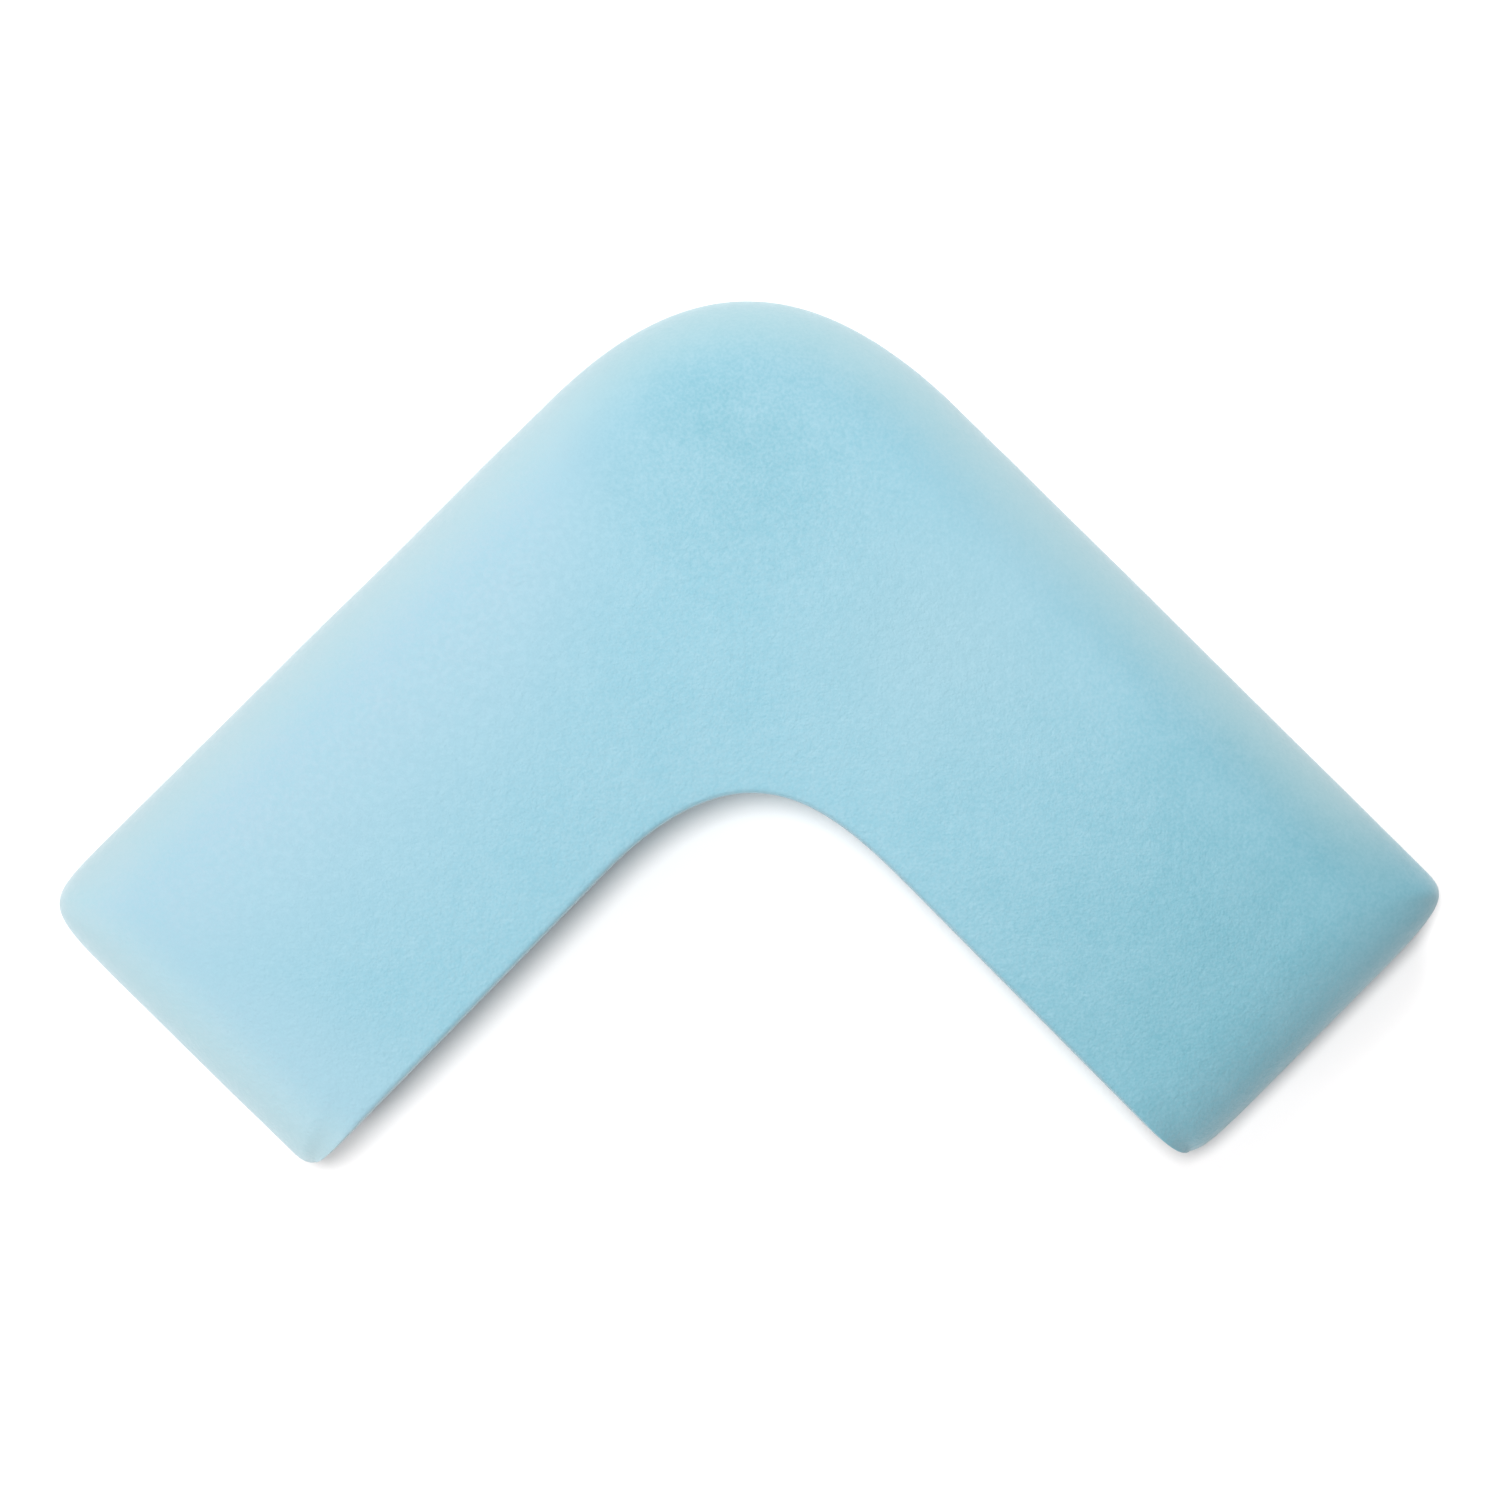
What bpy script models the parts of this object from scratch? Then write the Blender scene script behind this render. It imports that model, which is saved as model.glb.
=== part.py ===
# L-shaped pillow for a side sleeper: one block of moulded light blue gel foam, lying on its underside.
#
# The block is made in two halves, over and under its widest line, as its mould makes it. Each half
# is a sheet laid over the pillow's plan and lifted or dropped by how far a point lies in from the edge.
# The outer sides and the ends roll off softly. The inner sides, where the shoulder goes, are upright
# walls with tight rims.
# Metres, +Z up. +X runs along the overall length and +Y points from the open crook to the outer bend.
# The origin is the middle of the plan's box, on the surface that the pillow lies on.

import math
from collections import namedtuple

import bmesh
import bpy
import numpy as np

INCH = 0.0254

# Heights
LOFT = 4 * INCH
WIDEST_HEIGHT = 0.049
CROWN = 0.006

# Plan: each arm's outer side runs down from the bend's sharp corner, and its end turns in from there.
# Slopes are degrees from the X axis. The two arms differ a little, as on the real moulding.
Arm = namedtuple("Arm", "toward outer_length outer_slope end_width end_slope")
LEFT_ARM = Arm(toward=-1, outer_length=0.5863, outer_slope=44.72, end_width=0.2243, end_slope=44.33)
RIGHT_ARM = Arm(toward=1, outer_length=0.5821, outer_slope=44.64, end_width=0.2224, end_slope=45.04)
BEND_DEPTH = 0.3073

# Rounding of the six corners, in the order in which they follow each other round the plan, clockwise.
# A corner is one curve. It leaves its side "before" metres ahead of the sharp corner and meets the
# next side "after" metres past it. Fullness says how far its two handles reach towards the corner.
Rounding = namedtuple("Rounding", "before after full_before full_after")
ROUNDINGS = {
    "left_outer": Rounding(before=0.0737, after=0.0557, full_before=1.00, full_after=1.00),
    "outer_bend": Rounding(before=0.1665, after=0.1728, full_before=0.63, full_after=0.74),
    "right_outer": Rounding(before=0.0228, after=0.0756, full_before=0.86, full_after=0.91),
    "right_inner": Rounding(before=0.0597, after=0.0438, full_before=1.00, full_after=1.00),
    "inner_bend": Rounding(before=0.1390, after=0.1229, full_before=0.51, full_after=0.99),
    "left_inner": Rounding(before=0.0270, after=0.0171, full_before=0.83, full_after=0.89),
}
CURVE_STEPS = 64

# Outer sides and ends: how far in the surface has finished rolling over, and how round the roll is
OUTER_REACH = 0.058
END_REACH = 0.056
ROLL_POWER = 2.2
# Inner sides: how far the wall leans in from the widest line to its rim, and the rim's radius
WALL_LEAN = 0.0005
RIM_RADIUS = 0.003
HIP_SHARPNESS = 4.0
# How far in from an end the crown has risen, and the end's own curve no longer bends the sheet
END_INFLUENCE = 0.112

# Steps of the sheet: across each roll, across the flat between them, and along an arm to the bend
OUTER_STEPS = 8
END_STEPS = 8
RIM_STEPS = 3
MIDDLE_STEPS = 7
ARM_STEPS = 30
WELD = 0.0001

# Finish
FOAM_COLOUR = (0.381, 0.645, 0.745, 1.0)
FOAM_ROUGHNESS = 0.78

COLLECTION = "l_shaped_pillow"
NODE = "pillow_foam"


def clear_scene():
    """Start from an empty scene."""
    for item in list(bpy.data.objects):
        bpy.data.objects.remove(item, do_unlink=True)


def heading(degrees, toward):
    """Unit vector in plan that runs sideways and down at a slope, to the left (-1) or the right (1)."""
    angle = math.radians(degrees)
    return np.array((toward * math.cos(angle), -math.sin(angle)))


def sharp_corners():
    """The plan's six corners before they are rounded, with the bend's outer corner at zero."""
    corners = {"outer_bend": np.zeros(2), "inner_bend": np.array((0.0, -BEND_DEPTH))}
    for name, arm in (("left", LEFT_ARM), ("right", RIGHT_ARM)):
        outer = arm.outer_length * heading(arm.outer_slope, arm.toward)
        corners[name + "_outer"] = outer
        corners[name + "_inner"] = outer + arm.end_width * heading(arm.end_slope, -arm.toward)
    return corners


def rounded_corner(corners, name):
    """One corner's curve, a cubic whose handles lie on the two sides that meet there."""
    order = list(ROUNDINGS)
    place = order.index(name)
    corner = corners[name]
    back = corners[order[place - 1]] - corner
    on = corners[order[(place + 1) % len(order)]] - corner
    back /= np.linalg.norm(back)
    on /= np.linalg.norm(on)
    shape = ROUNDINGS[name]
    start = corner + back * shape.before
    finish = corner + on * shape.after
    start_handle = corner + back * shape.before * (1 - shape.full_before)
    finish_handle = corner + on * shape.after * (1 - shape.full_after)
    t = np.linspace(0, 1, CURVE_STEPS + 1)[:, None]
    return ((1 - t) ** 3 * start + 3 * (1 - t) ** 2 * t * start_handle
            + 3 * (1 - t) * t ** 2 * finish_handle + t ** 3 * finish)


def plan_sides():
    """The plan's four sides as point lists that meet in the middle of the rounded end corners.

    The outer and inner sides run from the left end to the right end, and the ends from outer to inner.
    """
    corners = sharp_corners()
    curves = {name: rounded_corner(corners, name) for name in ROUNDINGS}
    half = CURVE_STEPS // 2
    first = {name: curve[:half + 1] for name, curve in curves.items()}
    second = {name: curve[half:] for name, curve in curves.items()}
    outer = (second["left_outer"], curves["outer_bend"], first["right_outer"])
    right_end = (second["right_outer"], first["right_inner"])
    inner = (second["right_inner"], curves["inner_bend"], first["left_inner"])
    left_end = (second["left_inner"], first["left_outer"])
    return {
        "outer": np.concatenate(outer),
        "right_end": np.concatenate(right_end),
        "inner": np.concatenate(inner)[::-1],
        "left_end": np.concatenate(left_end)[::-1],
    }


def along(line, distances):
    """Points of a line at the given distances from its start."""
    steps = np.linalg.norm(np.diff(line, axis=0), axis=1)
    travelled = np.concatenate(((0.0,), np.cumsum(steps)))
    return np.stack([np.interp(distances, travelled, line[:, axis]) for axis in (0, 1)], axis=-1)


def length_of(line):
    return np.linalg.norm(np.diff(line, axis=0), axis=1).sum()


def roll_steps(reach, steps):
    """Distances in from an edge that split its roll into steps of equal turn."""
    turn = np.linspace(0, math.pi / 2, steps + 1)
    return reach * (1 - np.cos(turn) ** (2 / ROLL_POWER))


def wall_steps():
    """Distances in from an inner side: its widest line, then the rim in steps of equal turn."""
    turn = np.linspace(0, math.pi / 2, RIM_STEPS + 1)
    return np.concatenate(((0.0,), WALL_LEAN + RIM_RADIUS * (1 - np.cos(turn))))


def station_distances(side):
    """Distances along a long side at which the sheet's cross lines meet it, close set at the ends."""
    middle = length_of(side) / 2
    near_end = roll_steps(END_REACH, END_STEPS)
    on_arm = np.linspace(END_REACH, middle, ARM_STEPS + 1)[1:]
    half = np.concatenate((near_end, on_arm))
    return np.concatenate((half, (2 * middle - half[:-1])[::-1]))


def row_fractions(width):
    """Where the sheet's long rows lie on a cross line of this width, from outer side to inner side."""
    outer = roll_steps(OUTER_REACH, OUTER_STEPS)
    inner = width - wall_steps()[::-1]
    middle = np.linspace(outer[-1], inner[0], MIDDLE_STEPS + 1)[1:-1]
    return np.concatenate((outer, middle, inner)) / width


def fade(share):
    """Smooth fall from 1 to 0 as share goes from 0 to 1."""
    share = np.clip(share, 0, 1)
    return 1 - share * share * (3 - 2 * share)


def plan_points(sides):
    """The sheet's points in plan: cross lines from left to right, each from outer to inner."""
    outer = along(sides["outer"], station_distances(sides["outer"]))
    inner = along(sides["inner"], station_distances(sides["inner"]))
    widths = np.linalg.norm(inner - outer, axis=1)
    rows = np.stack([row_fractions(width) for width in widths])[:, :, None]
    points = outer[:, None] * (1 - rows) + inner[:, None] * rows
    from_left = station_distances(sides["outer"])
    for name, station, distances in (("left_end", 0, from_left), ("right_end", -1, from_left[::-1])):
        end = sides[name]
        bulge = along(end, rows[station, :, 0] * length_of(end)) - points[station]
        points = points + fade(distances / END_INFLUENCE)[:, None, None] * bulge
    return points


def distance_to(line, points):
    """Shortest distance in plan from each point to a line of straight runs."""
    starts = line[:-1]
    runs = line[1:] - starts
    offsets = points[..., None, :] - starts
    share = (offsets * runs).sum(-1) / np.maximum((runs * runs).sum(-1), 1e-12)
    nearest = offsets - np.clip(share, 0, 1)[..., None] * runs
    return np.sqrt((nearest * nearest).sum(-1)).min(-1)


def wall_depth(distance):
    """The depth on a soft roll at which it has risen as far as an inner wall has at this distance."""
    wall = 1 - RIM_RADIUS / (LOFT - CROWN - WIDEST_HEIGHT)
    round_rim = np.clip((distance - WALL_LEAN) / RIM_RADIUS, 0, 1)
    risen = wall * np.clip(distance / WALL_LEAN, 0, 1) + (1 - wall) * np.sqrt(1 - (1 - round_rim) ** 2)
    return 1 - (1 - risen ** ROLL_POWER) ** (1 / ROLL_POWER)


def roll(sides, points):
    """How far the surface has rolled over, 0 on the widest line and 1 where it has levelled out.

    Where two sides meet, their depths are joined so that a soft ridge runs in from the corner.
    """
    depths = (
        distance_to(sides["outer"], points) / OUTER_REACH,
        distance_to(sides["left_end"], points) / END_REACH,
        distance_to(sides["right_end"], points) / END_REACH,
        wall_depth(distance_to(sides["inner"], points)),
    )
    total = 1 - len(depths)
    for depth in depths:
        total = total + np.clip(depth, 1e-9, 1) ** -HIP_SHARPNESS
    depth = total ** (-1 / HIP_SHARPNESS)
    return (1 - (1 - depth) ** ROLL_POWER) ** (1 / ROLL_POWER)


def crown(sides, points):
    """Gentle swell of the top, 0 on every side and 1 along the middle of the arms."""
    depth = {name: distance_to(side, points) for name, side in sides.items()}
    across = np.sin(math.pi * depth["outer"] / (depth["outer"] + depth["inner"]))
    to_end = np.minimum(depth["left_end"], depth["right_end"])
    return across * (1 - fade(to_end / END_INFLUENCE))


def lay_half(bm, points, heights):
    """Add one half of the pillow: a flat grid, moved point by point to its place and height."""
    stations = points.shape[0] - 1
    rows = points.shape[1] - 1
    sheet = bmesh.ops.create_grid(bm, x_segments=stations, y_segments=rows, size=1.0)
    for vert in sheet["verts"]:
        station = round((vert.co.x + 1) / 2 * stations)
        row = round((vert.co.y + 1) / 2 * rows)
        x, y = points[station, row]
        vert.co = (x, y, heights[station, row])


def foam_material():
    material = bpy.data.materials.new("gel_foam")
    material.use_nodes = True
    shader = material.node_tree.nodes["Principled BSDF"]
    shader.inputs["Base Color"].default_value = FOAM_COLOUR
    shader.inputs["Roughness"].default_value = FOAM_ROUGHNESS
    shader.inputs["Metallic"].default_value = 0.0
    return material


def pillow_foam():
    """The whole pillow as one closed solid."""
    sides = plan_sides()
    points = plan_points(sides)
    rolled = roll(sides, points)
    top = WIDEST_HEIGHT + (LOFT - CROWN - WIDEST_HEIGHT) * rolled + CROWN * crown(sides, points)
    underside = WIDEST_HEIGHT * (1 - rolled)
    centre = (points.min(axis=(0, 1)) + points.max(axis=(0, 1))) / 2
    points = points - centre

    bm = bmesh.new()
    lay_half(bm, points, top)
    lay_half(bm, points, underside)
    bmesh.ops.remove_doubles(bm, verts=bm.verts, dist=WELD)
    bmesh.ops.recalc_face_normals(bm, faces=bm.faces)
    mesh = bpy.data.meshes.new(NODE)
    bm.to_mesh(mesh)
    bm.free()
    mesh.shade_smooth()
    mesh.materials.append(foam_material())
    return bpy.data.objects.new(NODE, mesh)


def main():
    clear_scene()
    collection = bpy.data.collections.new(COLLECTION)
    bpy.context.scene.collection.children.link(collection)
    collection.objects.link(pillow_foam())


main()
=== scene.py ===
# Looks of the L-shaped pillow: its moulded foam skin, a white studio floor and the view from above.
#
# The pillow is laid again from the same plan and the same rolls as its solid, with points every 3 mm,
# and then gets the slight swells of a real moulding. The grain, too fine for points, is in the material.

import math
from collections import namedtuple

import bmesh
import bpy
import numpy as np
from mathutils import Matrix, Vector, noise


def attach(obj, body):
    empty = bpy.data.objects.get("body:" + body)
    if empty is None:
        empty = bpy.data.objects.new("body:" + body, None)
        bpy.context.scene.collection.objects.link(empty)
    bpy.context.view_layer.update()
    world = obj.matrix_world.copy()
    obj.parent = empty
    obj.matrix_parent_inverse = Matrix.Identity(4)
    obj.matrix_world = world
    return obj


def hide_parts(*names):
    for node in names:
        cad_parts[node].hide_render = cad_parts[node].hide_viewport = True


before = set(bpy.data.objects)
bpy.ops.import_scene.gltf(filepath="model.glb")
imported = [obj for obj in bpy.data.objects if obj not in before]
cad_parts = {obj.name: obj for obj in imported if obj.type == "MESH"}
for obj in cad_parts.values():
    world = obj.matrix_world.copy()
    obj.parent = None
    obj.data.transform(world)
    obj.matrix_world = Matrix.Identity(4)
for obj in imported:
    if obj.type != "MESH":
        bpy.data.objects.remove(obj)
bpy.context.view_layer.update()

INCH = 0.0254
NODE = "pillow_foam"

# Heights
LOFT = 4 * INCH
WIDEST_HEIGHT = 0.049
CROWN = 0.006

# Plan: each arm's outer side runs down from the bend's sharp corner, and its end turns in from there.
# Slopes are degrees from the X axis.
Arm = namedtuple("Arm", "toward outer_length outer_slope end_width end_slope")
LEFT_ARM = Arm(toward=-1, outer_length=0.5863, outer_slope=44.72, end_width=0.2243, end_slope=44.33)
RIGHT_ARM = Arm(toward=1, outer_length=0.5821, outer_slope=44.64, end_width=0.2224, end_slope=45.04)
BEND_DEPTH = 0.3073

# Rounding of the six corners, clockwise round the plan. A corner's curve leaves its side "before"
# metres ahead of the sharp corner and meets the next side "after" metres past it. Fullness says how
# far its two handles reach towards the corner.
Rounding = namedtuple("Rounding", "before after full_before full_after")
ROUNDINGS = {
    "left_outer": Rounding(before=0.0737, after=0.0557, full_before=1.00, full_after=1.00),
    "outer_bend": Rounding(before=0.1665, after=0.1728, full_before=0.63, full_after=0.74),
    "right_outer": Rounding(before=0.0228, after=0.0756, full_before=0.86, full_after=0.91),
    "right_inner": Rounding(before=0.0597, after=0.0438, full_before=1.00, full_after=1.00),
    "inner_bend": Rounding(before=0.1390, after=0.1229, full_before=0.51, full_after=0.99),
    "left_inner": Rounding(before=0.0270, after=0.0171, full_before=0.83, full_after=0.89),
}
CURVE_STEPS = 128

# Outer sides and ends: how far in the surface has finished rolling over, and how round the roll is
OUTER_REACH = 0.058
END_REACH = 0.056
ROLL_POWER = 2.2
# Inner sides: how far the wall leans in from the widest line to its rim, and the rim's radius
WALL_LEAN = 0.0005
RIM_RADIUS = 0.003
HIP_SHARPNESS = 4.0
END_INFLUENCE = 0.112

# Steps of the net: across each roll, up the inner wall and round its rim, across the flat, along an arm
OUTER_STEPS = 28
END_STEPS = 26
WALL_STEPS = 12
RIM_STEPS = 6
MIDDLE_STEPS = 50
ARM_STEPS = 158
WELD = 0.00002

# Unevenness of the moulded surface: height of the swells, and the distance from one to the next.
# There are none where the pillow rests, and they are this share weaker at the inner walls.
SWELLS = ((0.00040, 0.110), (0.00018, 0.042), (0.00007, 0.014))
SWELL_SHIFT = (7.3, 3.1)
FLAT_BELOW = 0.004
CALM_REACH = 0.020
CALM = 0.8

# Photograph: the whole picture is this wide at the height of the pillow's widest line
PICTURE_WIDTH = 0.8822
PICTURE_CENTRE = (0.0004, -0.0106)
LENS = 120.0
SENSOR = 36.0


def heading(degrees, toward):
    """Unit vector in plan that runs sideways and down at a slope, to the left (-1) or the right (1)."""
    angle = math.radians(degrees)
    return np.array((toward * math.cos(angle), -math.sin(angle)))


def sharp_corners():
    """The plan's six corners before they are rounded, with the bend's outer corner at zero."""
    corners = {"outer_bend": np.zeros(2), "inner_bend": np.array((0.0, -BEND_DEPTH))}
    for name, arm in (("left", LEFT_ARM), ("right", RIGHT_ARM)):
        outer = arm.outer_length * heading(arm.outer_slope, arm.toward)
        corners[name + "_outer"] = outer
        corners[name + "_inner"] = outer + arm.end_width * heading(arm.end_slope, -arm.toward)
    return corners


def rounded_corner(corners, name):
    """One corner's curve, a cubic whose handles lie on the two sides that meet there."""
    order = list(ROUNDINGS)
    place = order.index(name)
    corner = corners[name]
    back = corners[order[place - 1]] - corner
    on = corners[order[(place + 1) % len(order)]] - corner
    back /= np.linalg.norm(back)
    on /= np.linalg.norm(on)
    shape = ROUNDINGS[name]
    start = corner + back * shape.before
    finish = corner + on * shape.after
    start_handle = corner + back * shape.before * (1 - shape.full_before)
    finish_handle = corner + on * shape.after * (1 - shape.full_after)
    t = np.linspace(0, 1, CURVE_STEPS + 1)[:, None]
    return ((1 - t) ** 3 * start + 3 * (1 - t) ** 2 * t * start_handle
            + 3 * (1 - t) * t ** 2 * finish_handle + t ** 3 * finish)


def plan_sides():
    """The plan's four sides as point lists that meet in the middle of the rounded end corners."""
    corners = sharp_corners()
    curves = {name: rounded_corner(corners, name) for name in ROUNDINGS}
    half = CURVE_STEPS // 2
    first = {name: curve[:half + 1] for name, curve in curves.items()}
    second = {name: curve[half:] for name, curve in curves.items()}
    outer = (second["left_outer"], curves["outer_bend"], first["right_outer"])
    right_end = (second["right_outer"], first["right_inner"])
    inner = (second["right_inner"], curves["inner_bend"], first["left_inner"])
    left_end = (second["left_inner"], first["left_outer"])
    return {
        "outer": np.concatenate(outer),
        "right_end": np.concatenate(right_end),
        "inner": np.concatenate(inner)[::-1],
        "left_end": np.concatenate(left_end)[::-1],
    }


def along(line, distances):
    """Points of a line at the given distances from its start."""
    steps = np.linalg.norm(np.diff(line, axis=0), axis=1)
    travelled = np.concatenate(((0.0,), np.cumsum(steps)))
    return np.stack([np.interp(distances, travelled, line[:, axis]) for axis in (0, 1)], axis=-1)


def length_of(line):
    return np.linalg.norm(np.diff(line, axis=0), axis=1).sum()


def roll_steps(reach, steps):
    """Distances in from an edge that split its roll into steps of equal turn."""
    turn = np.linspace(0, math.pi / 2, steps + 1)
    return reach * (1 - np.cos(turn) ** (2 / ROLL_POWER))


def wall_steps():
    """Distances in from an inner side: up the wall from the widest line, then round the rim."""
    turn = np.linspace(0, math.pi / 2, RIM_STEPS + 1)
    wall = np.linspace(0, WALL_LEAN, WALL_STEPS + 1)[:-1]
    return np.concatenate((wall, WALL_LEAN + RIM_RADIUS * (1 - np.cos(turn))))


def station_distances(side):
    """Distances along a long side at which the net's cross lines meet it, close set at the ends."""
    middle = length_of(side) / 2
    near_end = roll_steps(END_REACH, END_STEPS)
    on_arm = np.linspace(END_REACH, middle, ARM_STEPS + 1)[1:]
    half = np.concatenate((near_end, on_arm))
    return np.concatenate((half, (2 * middle - half[:-1])[::-1]))


def row_fractions(width):
    """Where the net's long rows lie on a cross line of this width, from outer side to inner side."""
    outer = roll_steps(OUTER_REACH, OUTER_STEPS)
    inner = width - wall_steps()[::-1]
    middle = np.linspace(outer[-1], inner[0], MIDDLE_STEPS + 1)[1:-1]
    return np.concatenate((outer, middle, inner)) / width


def fade(share):
    """Smooth fall from 1 to 0 as share goes from 0 to 1."""
    share = np.clip(share, 0, 1)
    return 1 - share * share * (3 - 2 * share)


def plan_points(sides):
    """The net's points in plan: cross lines from left to right, each from outer to inner."""
    outer = along(sides["outer"], station_distances(sides["outer"]))
    inner = along(sides["inner"], station_distances(sides["inner"]))
    widths = np.linalg.norm(inner - outer, axis=1)
    rows = np.stack([row_fractions(width) for width in widths])[:, :, None]
    points = outer[:, None] * (1 - rows) + inner[:, None] * rows
    from_left = station_distances(sides["outer"])
    for name, station, distances in (("left_end", 0, from_left), ("right_end", -1, from_left[::-1])):
        end = sides[name]
        bulge = along(end, rows[station, :, 0] * length_of(end)) - points[station]
        points = points + fade(distances / END_INFLUENCE)[:, None, None] * bulge
    return points


def distance_to(line, points):
    """Shortest distance in plan from each point to a line of straight runs, one cross line at a time."""
    starts = line[:-1]
    runs = line[1:] - starts
    lengths = np.maximum((runs * runs).sum(-1), 1e-12)
    shortest = np.empty(points.shape[:2])
    for station, row in enumerate(points):
        offsets = row[:, None, :] - starts
        share = np.clip((offsets * runs).sum(-1) / lengths, 0, 1)
        nearest = offsets - share[..., None] * runs
        shortest[station] = np.sqrt((nearest * nearest).sum(-1).min(-1))
    return shortest


def wall_depth(distance):
    """The depth on a soft roll at which it has risen as far as an inner wall has at this distance."""
    wall = 1 - RIM_RADIUS / (LOFT - CROWN - WIDEST_HEIGHT)
    round_rim = np.clip((distance - WALL_LEAN) / RIM_RADIUS, 0, 1)
    risen = wall * np.clip(distance / WALL_LEAN, 0, 1) + (1 - wall) * np.sqrt(1 - (1 - round_rim) ** 2)
    return 1 - (1 - risen ** ROLL_POWER) ** (1 / ROLL_POWER)


def roll(away):
    """How far the surface has rolled over, 0 on the widest line and 1 where it has levelled out.

    Where two sides meet, their depths are joined so that a soft ridge runs in from the corner.
    """
    depths = (
        away["outer"] / OUTER_REACH,
        away["left_end"] / END_REACH,
        away["right_end"] / END_REACH,
        wall_depth(away["inner"]),
    )
    total = 1 - len(depths)
    for depth in depths:
        total = total + np.clip(depth, 1e-9, 1) ** -HIP_SHARPNESS
    depth = total ** (-1 / HIP_SHARPNESS)
    return (1 - (1 - depth) ** ROLL_POWER) ** (1 / ROLL_POWER)


def crown(away):
    """Gentle swell of the top, 0 on every side and 1 along the middle of the arms."""
    across = np.sin(math.pi * away["outer"] / (away["outer"] + away["inner"]))
    to_end = np.minimum(away["left_end"], away["right_end"])
    return across * (1 - fade(to_end / END_INFLUENCE))


def lay_half(bm, points, heights, measures):
    """Add one half of the pillow: a flat grid, moved point by point to its place and height."""
    stations = points.shape[0] - 1
    rows = points.shape[1] - 1
    sheet = bmesh.ops.create_grid(bm, x_segments=stations, y_segments=rows, size=1.0)
    for vert in sheet["verts"]:
        station = round((vert.co.x + 1) / 2 * stations)
        row = round((vert.co.y + 1) / 2 * rows)
        x, y = points[station, row]
        vert.co = (x, y, heights[station, row])
        for name, values in measures.items():
            vert[bm.verts.layers.float[name]] = values[station, row]


def swell_surface(mesh):
    """Push the skin in and out along its normals, less at the inner walls and not where it lies flat."""
    normals = [v.normal.copy() for v in mesh.vertices]
    from_inner = mesh.attributes["from_inner"].data
    for vert, normal in zip(mesh.vertices, normals):
        rise = 0.0
        for place, (height, spacing) in enumerate(SWELLS):
            shift = Vector((place * SWELL_SHIFT[0], place * SWELL_SHIFT[1], 0.0))
            rise += height * noise.noise(vert.co / spacing + shift)
        free = 1 - float(fade(vert.co.z / FLAT_BELOW))
        calm = float(fade(from_inner[vert.index].value / CALM_REACH))
        vert.co += normal * (rise * free * (1 - calm * CALM))
    mesh.update()


def object_from(name, mesh):
    piece = bpy.data.objects.new(name, mesh)
    bpy.context.scene.collection.objects.link(piece)
    return piece


class Nodes:
    """A short way to add a material's nodes and join them up."""

    def __init__(self, tree):
        self.tree = tree

    def add(self, kind, settings=None, **inputs):
        node = self.tree.nodes.new(kind)
        for name, value in (settings or {}).items():
            setattr(node, name, value)
        for name, value in inputs.items():
            self.put(node, name.replace("_", " "), value)
        return node

    def put(self, node, name, value):
        socket = node.inputs[int(name)] if name.isdigit() else node.inputs[name]
        if isinstance(value, bpy.types.NodeSocket):
            self.tree.links.new(value, socket)
        else:
            socket.default_value = value

    def math(self, operation, first, second):
        node = self.add("ShaderNodeMath", {"operation": operation})
        self.put(node, "0", first)
        self.put(node, "1", second)
        return node.outputs["Value"]

    def mix(self, share, first, second):
        """Two colours mixed by share."""
        node = self.add("ShaderNodeMix", {"data_type": "RGBA"})
        self.put(node, "0", share)
        self.put(node, "6", first)
        self.put(node, "7", second)
        return node.outputs[2]

    def band(self, value, low, high, to_low=0.0, to_high=1.0):
        """The value's way from low to high, turned into a smooth way from to_low to to_high."""
        node = self.add("ShaderNodeMapRange", {"interpolation_type": "SMOOTHSTEP"})
        for name, number in (("Value", value), ("From Min", low), ("From Max", high),
                             ("To Min", to_low), ("To Max", to_high)):
            self.put(node, name, number)
        return node.outputs["Result"]

    def speckle(self, where, spacing, detail=2.0):
        """Cloudy noise around 0.5 with about this many metres from one patch to the next."""
        node = self.add("ShaderNodeTexNoise", Vector=where, Scale=1 / spacing, Detail=detail, Roughness=0.5)
        return node.outputs["Fac"]


# Foam colours: the gel blue; a paler, whiter blue that is painted sheen on the left arm's outer side and
# tip; a darker blue that is painted shade along the right arm and also the gel's deeper spot; what it
# mottles to; and a paler, slightly yellow tone of the rolled sides that is partly painted sheen
GEL_BLUE = (0.184, 0.383, 0.464, 1.0)
PAINTED_SHEEN_BLUE = (0.298, 0.424, 0.497, 1.0)
DEEP_GEL_AND_SHADE_BLUE = (0.120, 0.314, 0.382, 1.0)
MOTTLE_BLUE = (0.244, 0.418, 0.492, 1.0)
WORN_BLUE = (0.236, 0.392, 0.452, 1.0)
RIM_SHEEN_AND_TINT = (0.350, 0.485, 0.505, 1.0)

# Round spots with soft edges on the bend, where the gel lies deeper and where the skin is worn paler
DEEP_SPOT = (-0.005, 0.178, 0.0)
WORN_SPOT = (0.112, 0.054, 0.0)
SPOT_RADIUS = 0.115

# Two short thin ridges on the top of the bend, side by side, with a crease between them
RIDGES = ((-0.1326, 0.0894), (-0.1326, 0.0867))
RIDGE_SIZE = (0.0105, 0.0018, 0.0400)
RIDGE_TURN = 22.0
RIDGE_HEIGHT = 0.25

# Mottling, from slow patches to fine specks: metres from one to the next, the noise's detail, the
# noise values between which a mottle comes up, and how strongly it shows
Mottle = namedtuple("Mottle", "spacing detail low high strength")
PATCHES = Mottle(spacing=0.045, detail=3.0, low=0.35, high=0.65, strength=0.22)
MOTTLES = Mottle(spacing=0.008, detail=2.0, low=0.32, high=0.68, strength=0.18)
SPECKS = Mottle(spacing=0.0019, detail=1.0, low=0.25, high=0.75, strength=0.50)


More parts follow.
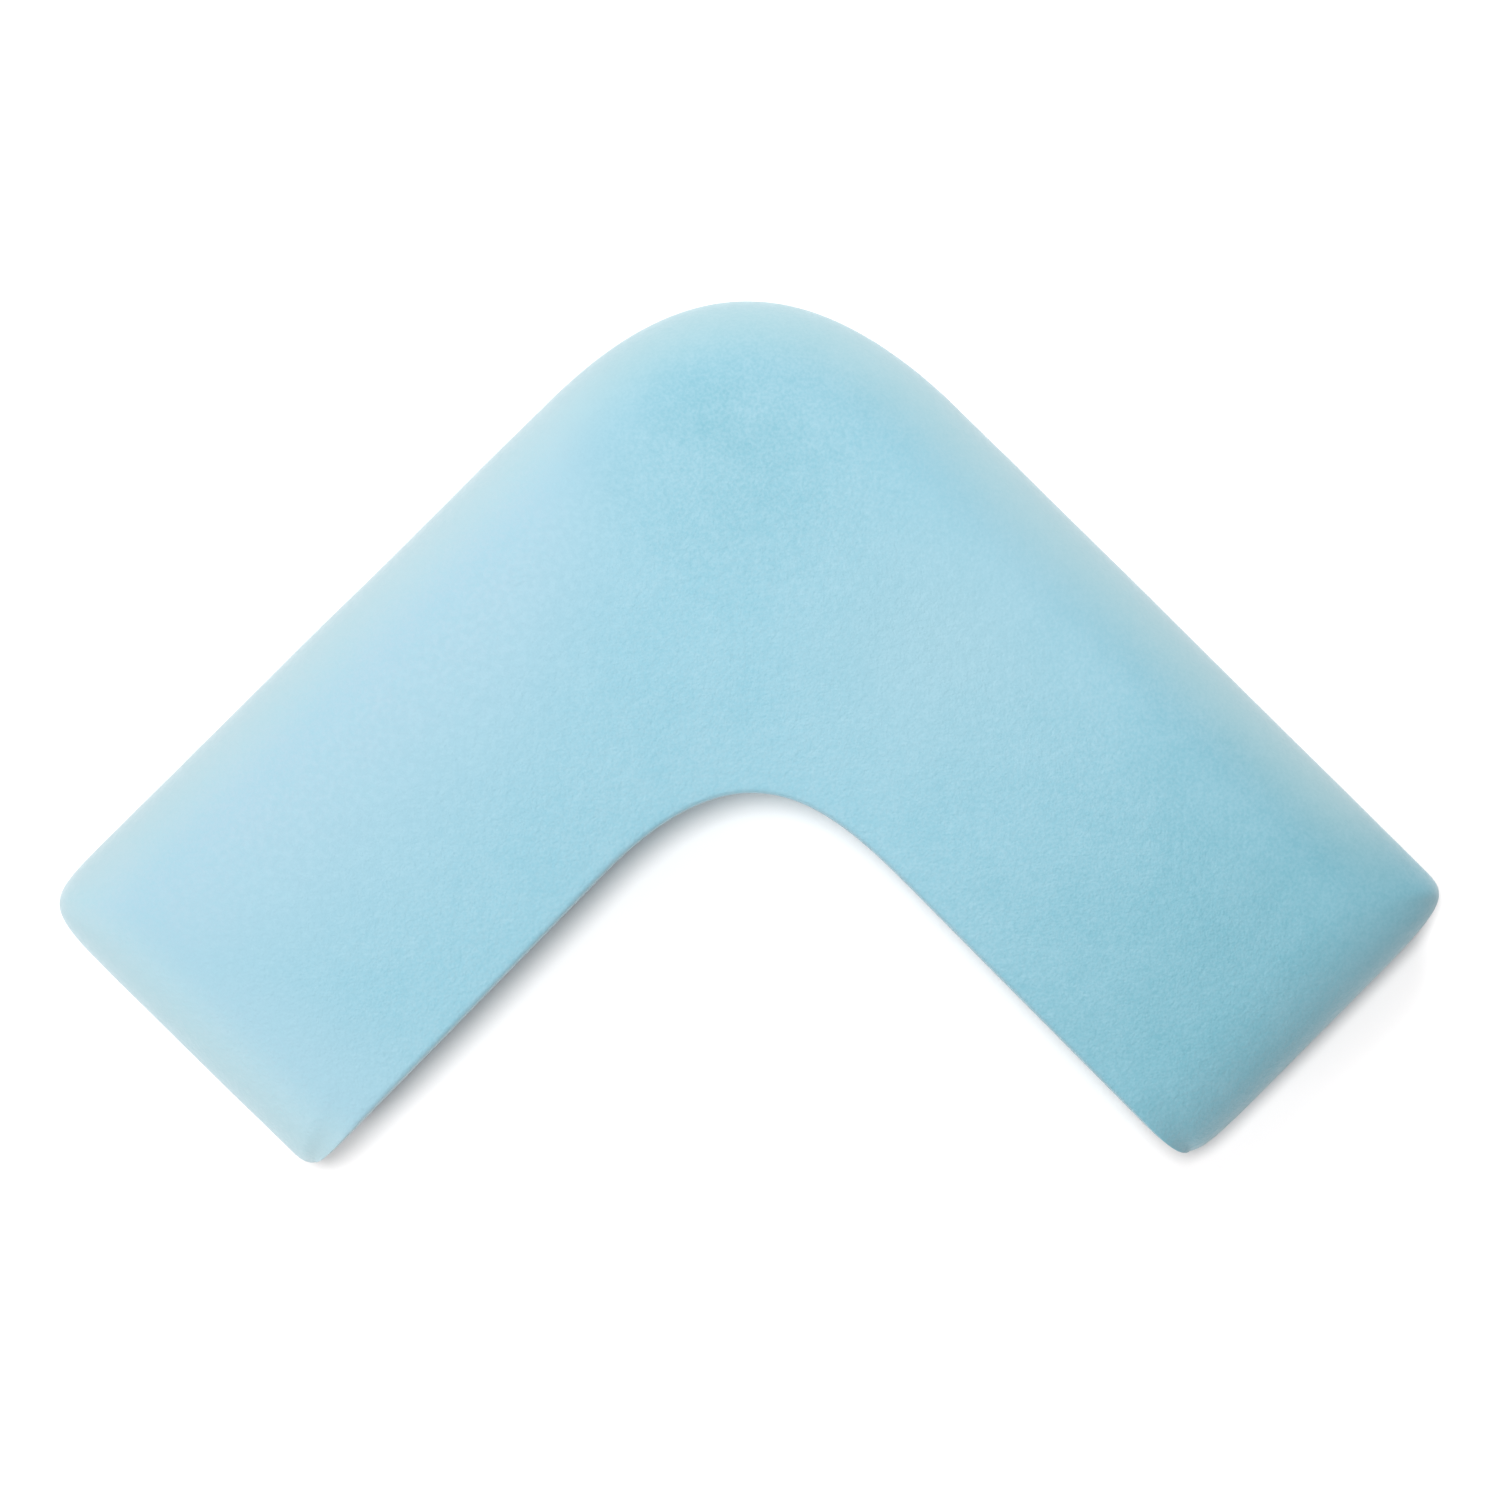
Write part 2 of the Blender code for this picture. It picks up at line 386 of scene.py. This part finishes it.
def soft_spot(nodes, where, centre, size, turn=0.0):
    """1 at a spot's centre, falling evenly to 0 at its rim."""
    spot = nodes.add("ShaderNodeMapping", {"vector_type": "TEXTURE"}, Vector=where, Location=centre,
                     Rotation=(0.0, 0.0, math.radians(turn)), Scale=size)
    ball = nodes.add("ShaderNodeTexGradient", {"gradient_type": "SPHERICAL"}, Vector=spot.outputs["Vector"])
    return ball.outputs["Fac"]


def foam_colour(nodes, where, from_outer, from_roll):
    """Gel blue with slow patches and mottles, paler to the left as painted sheen, darker to the right as
    painted shade, and paler on the rolls partly by painted sheen.
    """
    place = nodes.add("ShaderNodeSeparateXYZ", Vector=where)
    # Painted sheen: the left arm's outer side and its tip are mixed to a paler, whiter blue, as the lamps
    # on the left would light them.
    left = nodes.band(place.outputs["X"], -0.03, -0.15)
    towards_side = nodes.math("MULTIPLY", left, nodes.band(from_outer, 0.20, 0.0))
    down_left = nodes.math("ADD", place.outputs["X"], place.outputs["Y"])
    down_right = nodes.math("SUBTRACT", place.outputs["X"], place.outputs["Y"])
    towards_tip = nodes.band(down_left, -0.34, -0.50, 0.0, 0.75)
    painted_sheen = nodes.math("MAXIMUM", towards_side, towards_tip)
    colour = nodes.mix(painted_sheen, GEL_BLUE, PAINTED_SHEEN_BLUE)

    spot_size = (SPOT_RADIUS, SPOT_RADIUS, 1.0)
    worn = nodes.math("MULTIPLY", soft_spot(nodes, where, WORN_SPOT, spot_size), 0.7)
    colour = nodes.mix(worn, colour, WORN_BLUE)
    gel_spot = nodes.math("MULTIPLY", soft_spot(nodes, where, DEEP_SPOT, spot_size), 0.65)
    # Painted shade: the right arm darkens towards its end, which faces away from the lamps; the same colour
    # also gives the gel spot on the bend.
    deep_gel_and_shade = nodes.math("MAXIMUM", nodes.band(down_right, 0.06, 0.46), gel_spot)
    colour = nodes.mix(deep_gel_and_shade, colour, DEEP_GEL_AND_SHADE_BLUE)

    patches, mottles, specks = [
        nodes.band(nodes.speckle(where, kind.spacing, kind.detail), kind.low, kind.high, 0.0, kind.strength)
        for kind in (PATCHES, MOTTLES, SPECKS)
    ]
    mottled = nodes.math("ADD", nodes.math("ADD", patches, mottles), specks)
    mottled = nodes.math("MULTIPLY", mottled, nodes.band(down_right, 0.10, 0.46, 0.90, 0.45))
    colour = nodes.mix(mottled, colour, MOTTLE_BLUE)
    # Partly painted sheen: the rolled sides go paler and slightly yellow, and this fades out on the right
    # end, which faces away from the lamps.
    near_roll = nodes.band(from_roll, 0.046, 0.006)
    rim_sheen_and_tint = nodes.math("MULTIPLY", near_roll, nodes.band(down_right, 0.36, 0.50, 0.50, 0.0))
    return nodes.mix(rim_sheen_and_tint, colour, RIM_SHEEN_AND_TINT)


def foam_grain(nodes, where, from_outer):
    """Height of the skin in millimetres: shallow dimples and finer pebbles, weaker near the outer sides."""
    dimples = nodes.math("MULTIPLY", nodes.speckle(where, 0.0060, 1.0), 0.40)
    pebbles = nodes.math("MULTIPLY", nodes.speckle(where, 0.0027, 1.0), 0.40)
    fine = nodes.math("MULTIPLY", nodes.speckle(where, 0.0013, 0.0), 0.22)
    height = nodes.math("ADD", nodes.math("ADD", dimples, pebbles), fine)
    height = nodes.math("MULTIPLY", height, nodes.band(from_outer, 0.030, 0.120, 0.30, 0.85))
    for x, y in RIDGES:
        ridge = soft_spot(nodes, where, (x, y, LOFT), RIDGE_SIZE, RIDGE_TURN)
        height = nodes.math("ADD", height, nodes.math("MULTIPLY", ridge, RIDGE_HEIGHT))
    return height


def foam_material():
    material = bpy.data.materials.new("moulded_foam_skin")
    material.use_nodes = True
    nodes = Nodes(material.node_tree)
    shader = material.node_tree.nodes["Principled BSDF"]
    where = nodes.add("ShaderNodeTexCoord").outputs["Object"]
    from_outer = nodes.add("ShaderNodeAttribute", {"attribute_name": "from_outer"}).outputs["Fac"]
    from_roll = nodes.add("ShaderNodeAttribute", {"attribute_name": "from_roll"}).outputs["Fac"]

    nodes.put(shader, "Base Color", foam_colour(nodes, where, from_outer, from_roll))
    nodes.put(shader, "Roughness", nodes.band(nodes.speckle(where, 0.004), 0.35, 0.65, 0.52, 0.68))
    nodes.put(shader, "Specular IOR Level", 0.25)
    nodes.put(shader, "Sheen Weight", 0.25)
    nodes.put(shader, "Sheen Roughness", 0.60)
    nodes.put(shader, "Sheen Tint", (1.0, 1.0, 1.0, 1.0))
    bump = nodes.add("ShaderNodeBump", Distance=0.001, Height=foam_grain(nodes, where, from_outer))
    nodes.put(shader, "Normal", bump.outputs["Normal"])
    return material


def foam_pillow():
    """The pillow, shown in place of its plain solid."""
    sides = plan_sides()
    points = plan_points(sides)
    away = {name: distance_to(side, points) for name, side in sides.items()}
    rolled = roll(away)
    top = WIDEST_HEIGHT + (LOFT - CROWN - WIDEST_HEIGHT) * rolled + CROWN * crown(away)
    underside = WIDEST_HEIGHT * (1 - rolled)
    centre = (points.min(axis=(0, 1)) + points.max(axis=(0, 1))) / 2
    points = points - centre

    # Distances from the sides, kept on the points for the colour, the grain and the swells
    measures = {
        "from_outer": away["outer"],
        "from_inner": away["inner"],
        "from_roll": np.minimum(away["outer"], np.minimum(away["left_end"], away["right_end"])),
    }
    bm = bmesh.new()
    for name in measures:
        bm.verts.layers.float.new(name)
    lay_half(bm, points, top, measures)
    lay_half(bm, points, underside, measures)
    bmesh.ops.remove_doubles(bm, verts=bm.verts, dist=WELD)
    bmesh.ops.recalc_face_normals(bm, faces=bm.faces)
    mesh = bpy.data.meshes.new("moulded_foam")
    bm.to_mesh(mesh)
    bm.free()
    swell_surface(mesh)
    mesh.shade_smooth()
    mesh.materials.append(foam_material())
    piece = object_from("moulded_foam", mesh)
    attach(piece, "root")
    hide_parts(NODE)


# Studio: the floor reaches this far each way, and the lamps aim at a point inside the pillow
FLOOR_REACH = 6.0
FLOOR_COLOUR = (0.900, 0.873, 0.868, 1.0)
SKY_STRENGTH = 0.33
LAMP_AIM = (0.0, 0.0, 0.05)


def studio_floor():
    mesh = bpy.data.meshes.new("floor")
    bm = bmesh.new()
    bmesh.ops.create_grid(bm, x_segments=1, y_segments=1, size=FLOOR_REACH)
    bm.to_mesh(mesh)
    bm.free()
    material = bpy.data.materials.new("white_floor")
    material.use_nodes = True
    shader = material.node_tree.nodes["Principled BSDF"]
    shader.inputs["Base Color"].default_value = FLOOR_COLOUR
    shader.inputs["Roughness"].default_value = 0.9
    shader.inputs["Specular IOR Level"].default_value = 0.0
    mesh.materials.append(material)
    floor = object_from("floor", mesh)


def soft_lamp(name, place, size, watts):
    """A round studio lamp that shines on the pillow."""
    lamp = bpy.data.lights.new(name, "AREA")
    lamp.shape = "DISK"
    lamp.size = size
    lamp.energy = watts
    item = object_from(name, lamp)
    item.location = place
    item.rotation_euler = (Vector(LAMP_AIM) - Vector(place)).to_track_quat("-Z", "Y").to_euler()


def studio_light():
    world = bpy.data.worlds.new("studio")
    bpy.context.scene.world = world
    world.use_nodes = True
    sky = world.node_tree.nodes["Background"]
    sky.inputs["Color"].default_value = (1.0, 1.0, 1.0, 1.0)
    sky.inputs["Strength"].default_value = SKY_STRENGTH
    soft_lamp("overhead", (-0.48, 0.43, 5.8), 1.2, 234.0)
    soft_lamp("low_left", (-1.67, -1.67, 1.15), 1.4, 30.0)
    soft_lamp("behind", (0.0, 1.84, 1.89), 1.4, 40.0)


def overhead_camera():
    data = bpy.data.cameras.new("camera")
    data.lens = LENS
    data.sensor_width = SENSOR
    camera = object_from("camera", data)
    height = WIDEST_HEIGHT + PICTURE_WIDTH * LENS / SENSOR
    camera.location = (*PICTURE_CENTRE, height)
    bpy.context.scene.camera = camera


def main():
    bpy.context.scene.view_settings.view_transform = "Standard"
    foam_pillow()
    studio_floor()
    studio_light()
    overhead_camera()


main()
